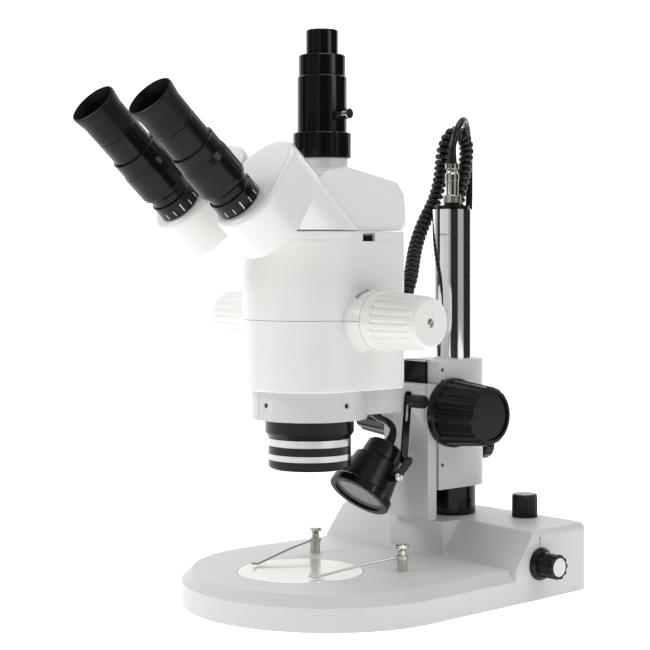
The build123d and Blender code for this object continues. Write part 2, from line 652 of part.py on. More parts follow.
# ---- binocular housings and eyepieces -----------------------------------------------------------
def housing(side):
    """Prism housing: a thick rounded slab across the tube axis, with the eyepiece socket in front."""
    low = Pos(side * TUBE_END_X, TUBE_END_V) * Circle(TUBE_END_R)
    high = Pos(side * PIVOT_X, PIVOT_V) * Circle(HOUSING_R)
    outline = make_hull(low.edges() + high.edges()).edges()
    slab = extrude(make_face(outline), -HOUSING_T)
    rim = slab.edges().filter_by(lambda e: e.center().Z > -0.1)
    slab = fillet(rim, 4.5)
    slab += Pos(side * EYE_X, 0, 4) * Cylinder(13.9, 16)
    slab -= Pos(side * EYE_X, 0, 0) * Cylinder(12.65, 32)
    # hollow for the prisms, with the light's way in at the pivot
    eye_end = Pos(side * EYE_X, 0) * Circle(14)
    pivot_end = Pos(side * PIVOT_X, PIVOT_V) * Circle(14)
    link = make_face(make_hull(eye_end.edges() + pivot_end.edges()).edges())
    slab -= Pos(0, 0, -6) * extrude(link, -22)
    slab -= Pos(side * PIVOT_X, PIVOT_V, -HOUSING_T) * Cylinder(9.0, 20)
    return TUBE_FRAME * slab


def in_tube(side, shape):
    """Place a turned piece on an eyepiece tube axis."""
    return TUBE_FRAME * Pos(side * EYE_X, 0, 0) * shape


def dioptre_ring(side):
    """The turning dioptre sleeve, with the marked ring at its foot."""
    ring = turned([
        (13.95, 0.3), (16.4, 0.3), (17.0, 1.0), (17.0, 12.0), (15.6, 13.0), (15.6, 17.5), (18.0, 20.0),
        (18.6, 22.5), (18.6, 42.0), (17.6, 47.0), (15.2, 47.0), (15.2, 12.4), (13.95, 12.4),
    ])
    return in_tube(side, ring)


def eyepiece(side):
    """Eyepiece barrel that drops into the tube, with its collar and marked body."""
    barrel = turned([
        (11.0, -14), (12.58, -14), (12.58, 47.3), (17.8, 47.3), (17.8, 56.6), (17.0, 57.4), (16.2, 57.4),
        (16.2, 76.0), (15.8, 76.6), (15.8, 78.0), (13.4, 78.0), (13.4, 74), (11.0, 70),
    ])
    glass = Pos(0, 0, 72) * Cylinder(11.6, 4)
    return in_tube(side, barrel + glass)


def eyecup(side):
    """Soft rubber eyecup, flared at the rim."""
    cup = turned([
        (13.4, 78.02), (16.0, 78.02), (16.2, 92), (17.7, 101.2), (17.5, 103.0), (16.7, 103.4), (15.2, 97),
        (14.8, 88), (13.4, 84),
    ])
    return in_tube(side, cup)


# ---- lamp ---------------------------------------------------------------------------------------
def lamp_shell():
    """Stepped lamp body, open in front, with a pivot lug on its right and a cable gland behind."""
    body = turned([
        (0, -47), (13.5, -47), (15.5, -45), (16.2, -33.5), (19.5, -31), (22.9, -10), (23.2, -7.02),
        (19.8, -7.02), (14.5, -36), (0, -40),
    ])
    body += rod(4.2, 4, (0, 0, -50.5))
    lug = rod(4.0, HANGER_X - 17 - GAP, (0, 0, 0))
    body += to_x((17, 0, -LAMP_BACK)) * lug
    body -= to_x((16, 0, -LAMP_BACK)) * rod(1.5 + FIT, HANGER_X, (0, 0, 0))
    return LAMP_FRAME * body


def lamp_rim():
    rim = turned([
        (19.6, -7.0), (24.6, -7.0), (LAMP_R, -6.0), (LAMP_R, -0.8), (24.6, 0), (20.4, 0), (20.4, -1.6),
        (21.2, -2.4), (21.2, -4.6), (19.6, -4.6),
    ])
    return LAMP_FRAME * rim


def lamp_window():
    return LAMP_FRAME * rod(21.15, 1.9, (0, 0, -4.55))


PIVOT = (LAMP_FRAME * Pos(0, 0, -LAMP_BACK)).position


def strap(start, end, inner_x):
    """A flat strap with round ends between two (Y, Z) points, from inner_x outwards."""
    outline = (Pos(*start) * Circle(STRAP_R)).edges() + (Pos(*end) * Circle(STRAP_R)).edges()
    flat = extrude(make_face(make_hull(outline).edges()), STRAP_T)
    return Plane(origin=(inner_x, 0, 0), x_dir=(0, 1, 0), z_dir=(1, 0, 0)) * flat


def lamp_hanger():
    """Slotted strap under the thumbscrew, stepped outwards at its knee to an eye at the lamp's pivot."""
    top = (HANGER_TURN[1] + 0.5, HANGER_TURN[2] + 4)
    upper = strap(top, HANGER_KNEE, STRAP_X)
    lower = strap(HANGER_KNEE, (PIVOT.Y, PIVOT.Z), HANGER_X)
    y, z = HANGER_KNEE
    step = block(STRAP_X, HANGER_X + STRAP_T, y - STRAP_R, y + STRAP_R, z - STRAP_T / 2, z + STRAP_T / 2)
    slot_top = (Pos(HANGER_TURN[1] + 0.3, HANGER_TURN[2] + 3) * Circle(THUMB_R + FIT)).edges()
    slot_end = (Pos(HANGER_TURN[1] - 1.4, HANGER_TURN[2] - 14.5) * Circle(THUMB_R + FIT)).edges()
    slot = extrude(make_face(make_hull(slot_top + slot_end).edges()), 3 * STRAP_T)
    upper -= Plane(origin=(STRAP_X - 1, 0, 0), x_dir=(0, 1, 0), z_dir=(1, 0, 0)) * slot
    upper -= rod(THUMB_R + FIT, 6, (STRAP_X - 1, HANGER_TURN[1], HANGER_TURN[2]), "x")
    lower -= rod(1.6, 10, (HANGER_X - 4, PIVOT.Y, PIVOT.Z), "x")
    return upper + step + lower


def hanger_thumbscrew():
    """Ribbed thumbscrew on the arm's right side that holds the hanger by its slot."""
    outside = STRAP_X + STRAP_T + GAP
    screw = rod(THUMB_R, outside - ARM_W / 2 - 0.7, (ARM_W / 2 + 1.0, HANGER_TURN[1], HANGER_TURN[2]), "x")
    head = turned([
        (0, 0), (3.4, 0), (3.4, 3.1), (4.7, 3.1), (5.2, 3.7), (5.2, 16.4), (4.2, 17.6), (0, 17.6),
    ])
    head = fluted(head, 14, 0.7, 5.6, 2.5, 18)
    return screw + to_x((outside, HANGER_TURN[1], HANGER_TURN[2])) * head


def lamp_pivot_screw():
    screw = turned([(0, -9), (1.5, -9), (1.5, 1.85), (3.4, 1.85), (3.4, 3.2), (2.6, 4.2), (0, 4.4)])
    screw -= Pos(0, 0, 4.2) * Box(5, 0.9, 1.4)
    return to_x((HANGER_X, PIVOT.Y, PIVOT.Z)) * screw


# ---- lamp cord ----------------------------------------------------------------------------------
# plain tail: out of the plug, over the top, down behind the post and up again into the curly stretch
TAIL_ROUTE = [
    (0.0, 162.0, PLUG_TOP), (0.0, 162.0, 350.0), (0.5, 166.0, 362.5), (-2.0, 174.0, 371.5),
    (-7.0, 183.5, 374.5), (-13.5, 192.5, 371.5), (-18.5, 199.5, 361.5), (-20.5, 203.5, 347.0),
    (-21.0, 204.0, 330.0), (-20.5, 203.5, 310.0), (-21.5, 203.5, 290.0), (-22.5, 203.0, 272.0),
    (-23.5, 202.0, 256.0), (-24.5, 199.0, 244.0), (-25.0, 191.5, 238.5), (-24.0, 181.0, 243.5),
    (-23.0, 181.0, 253.5),
]
# curly stretch: up behind the post, over the plug and down behind the zoom body
COIL_ROUTE = [
    (-23.0, 181.0, 253.5), (-21.8, 181.0, 265.5), (-21.0, 184.0, 284.0), (-20.0, 187.5, 302.0),
    (-17.5, 190.5, 320.0), (-14.0, 192.5, 339.0), (-11.0, 191.0, 354.5), (-11.0, 183.0, 364.0),
    (-12.5, 172.5, 362.0), (-16.0, 167.5, 348.5), (-21.0, 171.0, 334.0), (-24.5, 171.5, 320.0),
    (-26.0, 167.5, 306.0), (-26.5, 158.5, 293.0), (-25.5, 150.0, 280.0), (-22.0, 141.0, 266.5),
    (-15.0, 131.5, 253.0), (-8.0, 122.0, 240.5), (-5.0, 113.5, 228.5),
]
# plain lead from the curly stretch to the back of the lamp
LEAD_ROUTE = [
    (-5.0, 113.5, 228.5), (-2.5, 106.417, 218.5), (-9.0, 98.0, 207.0), (-18.0, 92.0, 194.0),
    (-28.0, 90.0, 180.0), (-35.5, 92.0, 165.0), (-37.5, 95.5, 150.5), (-32.5, 98.5, 138.5),
    (-21.5, 99.5, 131.5), (-9.5, 99.5, 129.5),
]


def lamp_exit(back):
    """A point on the lamp's axis, behind its cable gland."""
    point = (LAMP_FRAME * Pos(0, 0, -50.5 - back)).position
    return (point.X, point.Y, point.Z)


def cord_radii(route, name):
    """The radius at each corner of a route, as large as its runs allow."""
    radii = []
    for a, b, c in zip(route, route[1:], route[2:]):
        first = Vector(*b) - Vector(*a)
        second = Vector(*c) - Vector(*b)
        turn = math.radians(first.get_angle(second))
        radii.append(0.45 * min(first.length, second.length) / math.tan(turn / 2))
    print(name, "arc radii, mm:", [round(r, 1) for r in radii])
    return radii


def cord_tube(route, diameter, name):
    """A plain tube along straight runs and tangent arcs."""
    path = FilletPolyline(*route, radius=cord_radii(route, name))
    section = Plane(origin=path @ 0, z_dir=path % 0) * Circle(diameter / 2)
    tube = sweep(section, path=path)
    ratio = tube.volume / (math.pi * diameter ** 2 / 4 * path.length)
    print(name, "length, mm:", round(path.length, 1), "volume over section times length:", round(ratio, 4))
    return tube


def cord_tail():
    return cord_tube(TAIL_ROUTE, CORD_D, "tail")


def cord_coil():
    return cord_tube(COIL_ROUTE, COIL_D, "coil")


def cord_lead():
    return cord_tube(LEAD_ROUTE + [lamp_exit(11.0), lamp_exit(0.0)], CORD_D, "lead")


# ---- all nodes ----------------------------------------------------------------------------------
SINGLE = [
    base_shell, bottom_cover, cover_screws, rubber_feet, stage_plate, led_board, power_board,
    power_inlet, clip_posts, dimmer_knob, switch_knob, switch_cap, post_tube, post_cap, cable_plug,
    stop_collar, focus_block, gib_screws, pinion_bushes, clamp_screw, pinion_shaft, carriage,
    dovetail_slide, body_lower, body_upper, head_lock_screw, channel_tubes, zoom_shaft,
    objective_mount, objective_barrel, objective_rings, objective_lens, head_shell,
    photo_clamp_ring, photo_tube, photo_adapter, photo_lock_screw, lamp_shell, lamp_rim,
    lamp_window, lamp_hanger, hanger_thumbscrew, lamp_pivot_screw, cord_tail, cord_coil, cord_lead,
]
PAIRED = [clip_arm, focus_knob, zoom_knob, housing, dioptre_ring, eyepiece, eyecup]


def main():
    os.makedirs("parts", exist_ok=True)
    for make in SINGLE:
        save(make.__name__, make())
    for make in PAIRED:
        save(make.__name__ + "_right", make(1))
        save(make.__name__ + "_left", make(-1))


main()
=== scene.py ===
import json
import math
import bmesh
import bpy
from mathutils import Matrix, Vector


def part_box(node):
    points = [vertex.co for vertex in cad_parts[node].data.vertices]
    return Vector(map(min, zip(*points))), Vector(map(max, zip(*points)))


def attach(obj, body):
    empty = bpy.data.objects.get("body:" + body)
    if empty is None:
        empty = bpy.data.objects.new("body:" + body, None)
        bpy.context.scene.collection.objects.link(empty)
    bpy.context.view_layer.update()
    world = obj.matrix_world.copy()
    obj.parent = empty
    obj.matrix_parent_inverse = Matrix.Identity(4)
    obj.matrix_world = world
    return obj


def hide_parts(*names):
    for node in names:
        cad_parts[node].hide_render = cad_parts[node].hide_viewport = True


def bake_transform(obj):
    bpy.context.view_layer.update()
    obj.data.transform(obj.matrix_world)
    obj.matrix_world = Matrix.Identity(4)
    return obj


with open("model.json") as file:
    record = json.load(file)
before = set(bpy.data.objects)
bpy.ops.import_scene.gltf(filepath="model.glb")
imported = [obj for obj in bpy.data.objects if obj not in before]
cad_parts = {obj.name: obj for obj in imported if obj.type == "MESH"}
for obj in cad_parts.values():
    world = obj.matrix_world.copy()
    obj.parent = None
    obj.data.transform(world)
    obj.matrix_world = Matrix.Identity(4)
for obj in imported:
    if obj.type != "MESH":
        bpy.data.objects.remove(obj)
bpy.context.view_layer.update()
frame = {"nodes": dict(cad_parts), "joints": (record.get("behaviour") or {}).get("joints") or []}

NODES = frame["nodes"]
JOINTS = {j["name"]: j for j in frame["joints"]}

# ---- camera -------------------------------------------------------------------------------------
CAMERA_AT = Vector((0.9185, -0.7740, 0.2620))
CAMERA_TURN = 49.0      # degrees round from -Y towards +X
LENS = 88.6             # mm
SENSOR = 36.0           # mm
HORIZON_SHIFT = -0.1077
NEAREST = 0.05
FARTHEST = 40.0


def make_camera():
    data = bpy.data.cameras.new("camera")
    data.lens = LENS
    data.sensor_width = SENSOR
    data.shift_y = HORIZON_SHIFT
    data.clip_start = NEAREST
    data.clip_end = FARTHEST
    camera = bpy.data.objects.new("camera", data)
    bpy.context.scene.collection.objects.link(camera)
    camera.location = CAMERA_AT
    camera.rotation_euler = (math.radians(90), 0, math.radians(CAMERA_TURN))
    bpy.context.scene.camera = camera


make_camera()


# ---- geometry helpers ---------------------------------------------------------------------------
UP = Vector((0, 0, 1))
TINY = 1e-6             # a radius below this is a point on the axis


def middle(node):
    low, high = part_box(node)
    return (low + high) / 2


def link(name, mesh, material, body=None, smooth=True):
    """Put a mesh in the scene with one material, riding on a body if one is given."""
    piece = bpy.data.objects.new(name, mesh)
    bpy.context.scene.collection.objects.link(piece)
    mesh.materials.append(material)
    for face in mesh.polygons:
        face.use_smooth = smooth
    if body:
        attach(piece, body)
    return piece


def from_bmesh(bm, name):
    bmesh.ops.recalc_face_normals(bm, faces=bm.faces)
    mesh = bpy.data.meshes.new(name)
    bm.to_mesh(mesh)
    bm.free()
    return mesh


def frame_along(origin, forward, up=UP):
    """A matrix whose local Z points along forward."""
    z = forward.normalized()
    x = up.cross(z)
    if x.length < 1e-4:         # forward lies along up
        x = Vector((1, 0, 0)).cross(z)
    x.normalize()
    y = z.cross(x)
    turn = Matrix((x, y, z)).transposed().to_4x4()
    return Matrix.Translation(origin) @ turn


def turn_about_z(degrees):
    return Matrix.Rotation(math.radians(degrees), 4, "Z")


def circle_angles(sides):
    return [2 * math.pi * k / sides for k in range(sides)]


def join_rings(bm, rings):
    """Faces between closed rings that all have as many vertices."""
    sides = len(rings[0])
    for a, b in zip(rings, rings[1:]):
        for k in range(sides):
            n = (k + 1) % sides
            bm.faces.new((a[k], a[n], b[n], b[k]))


def join_pairs(bm, rows):
    """An open strip of faces along a row of vertex pairs."""
    for a, b in zip(rows, rows[1:]):
        bm.faces.new((a[0], a[1], b[1], b[0]))


# ---- lamp cord ----------------------------------------------------------------------------------
CORD_D = 0.0058
COIL_D = 0.0125
WIRE_D = 0.0048             # the curly stretch's own wire
COIL_PITCH = 0.0051
COIL_OPENING = 1.2          # turns that the curls take to open out at each end
GLAND_REACH = 0.029         # from the lamp's pivot back to the end of its gland
GLAND_LEAD_IN = 0.011       # cord that runs straight into the gland

# the route's points, from the plug on the post to the lamp
TAIL_ROUTE = [
    (0.0, 0.162, 0.33642), (0.0, 0.162, 0.350), (0.0005, 0.166, 0.3625), (-0.002, 0.174, 0.3715),
    (-0.007, 0.1835, 0.3745), (-0.0135, 0.1925, 0.3715), (-0.0185, 0.1995, 0.3615),
    (-0.0205, 0.2035, 0.347), (-0.021, 0.204, 0.330), (-0.0205, 0.2035, 0.310),
    (-0.0215, 0.2035, 0.290), (-0.0225, 0.203, 0.272), (-0.0235, 0.202, 0.256),
    (-0.0245, 0.199, 0.244), (-0.025, 0.1915, 0.2385), (-0.024, 0.181, 0.2435),
    (-0.023, 0.181, 0.2535),
]
COIL_ROUTE = [
    (-0.023, 0.181, 0.2535), (-0.0218, 0.181, 0.2655), (-0.021, 0.184, 0.284), (-0.020, 0.1875, 0.302),
    (-0.0175, 0.1905, 0.320), (-0.014, 0.1925, 0.339), (-0.011, 0.191, 0.3545), (-0.011, 0.183, 0.364),
    (-0.0125, 0.1725, 0.362), (-0.016, 0.1675, 0.3485), (-0.021, 0.171, 0.334), (-0.0245, 0.1715, 0.320),
    (-0.026, 0.1675, 0.306), (-0.0265, 0.1585, 0.293), (-0.0255, 0.150, 0.280), (-0.022, 0.141, 0.2665),
    (-0.015, 0.1315, 0.253), (-0.008, 0.122, 0.2405), (-0.005, 0.1135, 0.2285),
]
LEAD_ROUTE = [
    (-0.005, 0.1135, 0.2285), (-0.0025, 0.106417, 0.2185), (-0.009, 0.098, 0.207), (-0.018, 0.092, 0.194),
    (-0.028, 0.090, 0.180), (-0.0355, 0.092, 0.165), (-0.0375, 0.0955, 0.1505), (-0.0325, 0.0985, 0.1385),
    (-0.0215, 0.0995, 0.1315), (-0.0095, 0.0995, 0.1295),
]
TAIL_AT_COLLAR = TAIL_ROUTE[8]      # where the tail is split, at the collar
LEAD_AT_HANGER = LEAD_ROUTE[6]      # where the lead is split, at the lamp's hanger


# ---- materials ----------------------------------------------------------------------------------
BUMP_DISTANCE = 0.0004
GLOSS_SIZE = 2.3            # how much finer the gloss's unevenness is than the colour's
COAT_ROUGH = 0.06
LEAST_ROUGH = 0.02


def socket(node, name, value):
    node.inputs[name].default_value = value


def surface(name, color, rough, metal=0.0, mottle=0.04, mottle_size=60.0, grain=0.05, grain_size=900.0,
            rough_spread=0.06, coat=0.0, stretch=(1, 1, 1), spec=0.5):
    """A procedural finish: slight colour drift, uneven gloss and a fine surface grain."""
    material = bpy.data.materials.new(name)
    material.use_nodes = True
    tree = material.node_tree
    shader = tree.nodes["Principled BSDF"]
    place = tree.nodes.new("ShaderNodeTexCoord")
    scale = tree.nodes.new("ShaderNodeMapping")
    socket(scale, "Scale", stretch)
    tree.links.new(place.outputs["Object"], scale.inputs["Vector"])

    def noise(size, detail):
        node = tree.nodes.new("ShaderNodeTexNoise")
        socket(node, "Scale", size)
        socket(node, "Detail", detail)
        tree.links.new(scale.outputs["Vector"], node.inputs["Vector"])
        return node.outputs["Fac"]

    drift = tree.nodes.new("ShaderNodeMix")
    drift.data_type = "RGBA"
    socket(drift, "A", [c * (1 - mottle) for c in color] + [1])
    socket(drift, "B", [min(1, c * (1 + mottle)) for c in color] + [1])
    tree.links.new(noise(mottle_size, 4), drift.inputs["Factor"])
    tree.links.new(drift.outputs["Result"], shader.inputs["Base Color"])

    gloss = tree.nodes.new("ShaderNodeMapRange")
    socket(gloss, "To Min", max(LEAST_ROUGH, rough - rough_spread))
    socket(gloss, "To Max", rough + rough_spread)
    tree.links.new(noise(mottle_size * GLOSS_SIZE, 6), gloss.inputs["Value"])
    tree.links.new(gloss.outputs["Result"], shader.inputs["Roughness"])

    if grain > 0:
        bump = tree.nodes.new("ShaderNodeBump")
        socket(bump, "Strength", grain)
        socket(bump, "Distance", BUMP_DISTANCE)
        tree.links.new(noise(grain_size, 3), bump.inputs["Height"])
        tree.links.new(bump.outputs["Normal"], shader.inputs["Normal"])
    socket(shader, "Metallic", metal)
    socket(shader, "Coat Weight", coat)
    socket(shader, "Coat Roughness", COAT_ROUGH)
    socket(shader, "Specular IOR Level", spec)
    return material


ENAMEL = surface("body_enamel", (0.82, 0.812, 0.79), 0.22, mottle=0.008, grain=0.02, grain_size=260.0,
                 coat=0.4)
BASE_PAINT = surface("base_paint", (0.68, 0.685, 0.68), 0.42, mottle=0.02, grain=0.22,
                     grain_size=1500.0)
ARM_PAINT = surface("arm_paint", (0.62, 0.625, 0.625), 0.38, mottle=0.02, grain=0.25, grain_size=1300.0)
KNOB_WHITE = surface("knob_white", (0.84, 0.83, 0.80), 0.30, mottle=0.01, grain=0.05, grain_size=500.0)
MILK = surface("milk_plate", (0.80, 0.77, 0.68), 0.20, mottle=0.01, grain=0.02, grain_size=200.0,
               coat=0.3)
CHROME = surface("chrome", (0.86, 0.86, 0.87), 0.055, 1.0, mottle=0.01, grain=0.012, grain_size=300.0,
                 rough_spread=0.02, stretch=(1, 1, 0.04))
NICKEL = surface("nickel", (0.60, 0.565, 0.50), 0.13, 1.0, mottle=0.05, grain=0.05, grain_size=900.0)
STEEL = surface("ground_steel", (0.60, 0.60, 0.61), 0.26, 1.0, mottle=0.05, grain=0.10,
                grain_size=700.0, stretch=(1, 1, 0.06))
SPUN = surface("spun_aluminium", (0.56, 0.56, 0.57), 0.20, 1.0, mottle=0.04, grain=0.10,
               grain_size=1600.0, stretch=(0.05, 0.05, 1))
BRASS = surface("brass", (0.70, 0.55, 0.28), 0.28, 1.0, mottle=0.06)
ANODISED = surface("black_anodised", (0.006, 0.006, 0.0065), 0.16, mottle=0.06, grain=0.02,
                   grain_size=1400.0, rough_spread=0.02, spec=0.22)
BLACK_GLOSS = surface("black_gloss", (0.005, 0.005, 0.0055), 0.10, mottle=0.1, grain=0.01,
                      grain_size=400.0, rough_spread=0.02, spec=0.28)
BLACK_SATIN = surface("black_satin", (0.008, 0.008, 0.0085), 0.24, mottle=0.1, grain=0.06,
                      grain_size=1500.0, rough_spread=0.03, spec=0.22)
RUBBER = surface("rubber", (0.010, 0.010, 0.010), 0.38, mottle=0.1, grain=0.15, grain_size=1200.0,
                 spec=0.16)
CORD = surface("cord_jacket", (0.006, 0.006, 0.0065), 0.18, mottle=0.1, grain=0.03, grain_size=900.0,
               spec=0.35)
BOARD = surface("circuit_board", (0.02, 0.16, 0.06), 0.35, mottle=0.2, grain=0.1)
WHITE_INK = surface("white_ink", (0.85, 0.85, 0.84), 0.45, mottle=0.03, grain=0.05)
BLACK_INK = surface("black_ink", (0.02, 0.02, 0.02), 0.45, mottle=0.1, grain=0.05)
DARK_HOLE = surface("dark_steel", (0.05, 0.05, 0.055), 0.35, 0.8, mottle=0.2, grain=0.1)
COATED = surface("coated_lens", (0.010, 0.014, 0.022), 0.04, mottle=0.1, grain=0.0, rough_spread=0.01,
                 coat=1.0)
LAMP_GLASS = surface("lamp_glass", (0.23, 0.25, 0.25), 0.12, mottle=0.08, grain=0.05, grain_size=350.0,
                     coat=0.5)

FINISHES = [
    (BASE_PAINT, ["base_shell"]),
    (STEEL, [
        "bottom_cover", "cover_screws", "clip_arm_right", "clip_arm_left", "pinion_shaft",
        "zoom_shaft"]),
    (RUBBER, ["rubber_feet", "eyecup_right", "eyecup_left"]),
    (MILK, ["stage_plate"]),
    (BOARD, ["led_board", "power_board"]),
    (BLACK_SATIN, [
        "power_inlet", "dimmer_knob", "switch_knob", "post_cap", "clamp_screw", "focus_knob_right",
        "focus_knob_left", "head_lock_screw", "lamp_shell", "hanger_thumbscrew"]),
    (NICKEL, ["clip_posts", "cable_plug", "photo_lock_screw", "lamp_pivot_screw"]),
    (SPUN, ["switch_cap", "objective_rings"]),
    (CHROME, ["post_tube"]),
    (ANODISED, [
        "stop_collar", "dovetail_slide", "channel_tubes", "objective_mount", "objective_barrel",
        "dioptre_ring_right", "dioptre_ring_left", "eyepiece_right", "eyepiece_left", "lamp_hanger"]),
    (ARM_PAINT, ["focus_block", "carriage"]),
    (DARK_HOLE, ["gib_screws"]),
    (BRASS, ["pinion_bushes"]),
    (ENAMEL, ["body_lower", "body_upper", "head_shell", "housing_right", "housing_left"]),
    (KNOB_WHITE, ["zoom_knob_right", "zoom_knob_left"]),
    (COATED, ["objective_lens"]),
    (BLACK_GLOSS, ["photo_clamp_ring", "photo_tube", "photo_adapter", "lamp_rim"]),
    (LAMP_GLASS, ["lamp_window"]),
    (CORD, ["cord_tail", "cord_coil", "cord_lead"]),
]


def finish_cad_nodes():
    for material, nodes in FINISHES:
        for node in nodes:
            NODES[node].data.materials.clear()
            NODES[node].data.materials.append(material)


finish_cad_nodes()


# ---- cord making --------------------------------------------------------------------------------
def spline_points(route, per_run=14):
    """Points along one smooth NURBS line whose control points are the route."""
    curve = bpy.data.curves.new("route", "CURVE")
    curve.dimensions = "3D"
    spline = curve.splines.new("NURBS")
    spline.points.add(len(route) - 1)
    for point, at in zip(spline.points, route):
        point.co = (*at, 1)
    spline.order_u = 3
    spline.use_endpoint_u = True
    spline.resolution_u = per_run
    holder = bpy.data.objects.new("route", curve)
    mesh = bpy.data.meshes.new_from_object(holder)
    points = [v.co.copy() for v in mesh.vertices]
    bpy.data.objects.remove(holder)
    bpy.data.curves.remove(curve)
    bpy.data.meshes.remove(mesh)
    return points


def line_length(points):
    return sum((b - a).length for a, b in zip(points, points[1:]))


def frames_along(points):
    """A side and an up direction at each point that turn as little as they can."""
    tangents = []
    for i in range(len(points)):
        ahead = points[min(i + 1, len(points) - 1)] - points[max(i - 1, 0)]
        tangents.append(ahead.normalized())
    side = tangents[0].orthogonal().normalized()
    frames = []
    for tangent in tangents:
        side = (side - tangent * side.dot(tangent)).normalized()
        frames.append((side, tangent.cross(side)))
    return frames


def tube(name, points, radius_at, material, sides=14):
    """A closed round tube along points; radius_at gives the radius from 0 to 1 along it."""
    bm = bmesh.new()
    rings = []
    for i, (at, (side, up)) in enumerate(zip(points, frames_along(points))):
        radius = radius_at(i / (len(points) - 1))
        ring = []
        for angle in circle_angles(sides):
            ring.append(bm.verts.new(at + radius * (math.cos(angle) * side + math.sin(angle) * up)))
        rings.append(ring)
    join_rings(bm, rings)
    bm.faces.new(list(reversed(rings[0])))
    bm.faces.new(rings[-1])
    return link(name, from_bmesh(bm, name), material)


def helix(points, radius, pitch, steps=16):
    """A curly cord's line: turns about a centre line, starting and ending on it."""
    frames = frames_along(points)
    total = line_length(points)
    turns = round(total / pitch)
    walked = [0.0]
    for a, b in zip(points, points[1:]):
        walked.append(walked[-1] + (b - a).length)
    line = []
    place = 0
    count = turns * steps
    for i in range(count + 1):
        share = i / count
        goal = share * total
        while place < len(points) - 2 and walked[place + 1] < goal:
            place += 1
        part = (goal - walked[place]) / (walked[place + 1] - walked[place])
        centre = points[place].lerp(points[place + 1], part)
        side = frames[place][0].lerp(frames[place + 1][0], part)
        up = frames[place][1].lerp(frames[place + 1][1], part)
        swell = min(1.0, share * turns / COIL_OPENING, (1 - share) * turns / COIL_OPENING)
        angle = 2 * math.pi * turns * share
        line.append(centre + radius * swell * (math.cos(angle) * side + math.sin(angle) * up))
    return line


def nearest(points, at):
    goal = Vector(at)
    return min(range(len(points)), key=lambda i: (points[i] - goal).length)


def plain_cord(name, points, node):
    """A length of plain cable; its last point is nearest to the lamp."""
    piece = tube(name, points, lambda t: CORD_D / 2, CORD)
    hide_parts(node)
    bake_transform(piece)


def lamp_line():
    """The lamp's pivot and the way its face looks."""
    pivot = Vector(JOINTS["lamp_tilt"]["pos_m"])
    aim = (middle("lamp_window") - pivot).normalized()
    return pivot, aim


def curly_cord(centre_line):
    """The curly stretch: a helix of thinner wire round its centre line."""
    curl = helix(centre_line, (COIL_D - WIRE_D) / 2, COIL_PITCH)
    piece = tube("cord_curly", curl, lambda t: WIRE_D / 2, CORD, sides=10)
    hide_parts("cord_coil")
    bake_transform(piece)


def make_cords():
    """The whole cord, length by length, made from the lamp's gland to the plug on the post."""
    pivot, aim = lamp_line()
    gland = pivot - aim * GLAND_REACH
    tail = spline_points(TAIL_ROUTE)
    lead = spline_points(LEAD_ROUTE + [tuple(gland - aim * GLAND_LEAD_IN), tuple(gland)])

    turn = nearest(lead, LEAD_AT_HANGER)
    plain_cord("cord_lead_low", lead[turn:], "cord_lead")
    plain_cord("cord_lead_top", lead[:turn + 1],
               "cord_lead")

    curly_cord(spline_points(COIL_ROUTE))

    turn = nearest(tail, TAIL_AT_COLLAR)
    plain_cord("cord_tail_low", tail[turn:], "cord_tail")
    plain_cord("cord_tail_top", tail[:turn + 1], "cord_tail")
    return tail, lead


TAIL_LINE, LEAD_LINE = make_cords()

RELIEF_R = 0.0042           # thick end of the sleeves at the plug and the lamp
COIL_SLEEVE_R = 0.0044      # and of those at the curly stretch's ends
SLEEVE_THIN_R = 0.0031
GROOVES = 5
GROOVE_DEPTH = 0.00022
GROOVED_FROM = 0.12         # shares of the sleeve's length
GROOVED_TO = 0.9
SLEEVE_CUTS = 8             # between two points of the cord's line


def sleeve(name, points, thick, body):
    """A moulded sleeve round a cord: thick at its first end, with grooves, thin at its last."""
    def radius(t):
        groove = GROOVE_DEPTH * (0.5 + 0.5 * math.cos(2 * math.pi * t * GROOVES))
        return thick + (SLEEVE_THIN_R - thick) * t - (groove if GROOVED_FROM < t < GROOVED_TO else 0)

    fine = []
    for a, b in zip(points, points[1:]):
        for k in range(SLEEVE_CUTS):
            fine.append(a.lerp(b, k / SLEEVE_CUTS))
    fine.append(points[-1])
    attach(tube(name, fine, radius, RUBBER, sides=24), body)


# each covers the last few points at one end of a cord's line
sleeve("plug_relief", TAIL_LINE[:8], RELIEF_R, "base")
sleeve("lamp_relief", list(reversed(LEAD_LINE[-9:])), RELIEF_R, "lamp")
sleeve("coil_foot_sleeve", list(reversed(TAIL_LINE[-7:])), COIL_SLEEVE_R, "block")
sleeve("coil_end_sleeve", LEAD_LINE[:6], COIL_SLEEVE_R, "carriage")


# ---- small pieces on turned axes ----------------------------------------------------------------
def flat_ring(bm, radius, height, sides):
    points = [(radius * math.cos(t), radius * math.sin(t), height) for t in circle_angles(sides)]
    return [bm.verts.new(point) for point in points]


def lathe(name, profile, at, forward, material, body, sides=64, close=False):
    """A turned piece: (radius, height) points swept about an axis that starts at a point."""
    bm = bmesh.new()
    rings = []
    for radius, height in profile:
        if radius < TINY:
            rings.append([bm.verts.new((0, 0, height))])
        else:
            rings.append(flat_ring(bm, radius, height, sides))
    pairs = list(zip(rings, rings[1:]))
    if close:
        pairs.append((rings[-1], rings[0]))
    for a, b in pairs:
        for k in range(sides):
            n = (k + 1) % sides
            corners = [a[k % len(a)], a[n % len(a)], b[n % len(b)], b[k % len(b)]]
            unique = list(dict.fromkeys(corners))
            if len(unique) > 2:
                bm.faces.new(unique)
    mesh = from_bmesh(bm, name)
    mesh.transform(frame_along(at, forward))
    link(name, mesh, material, body)


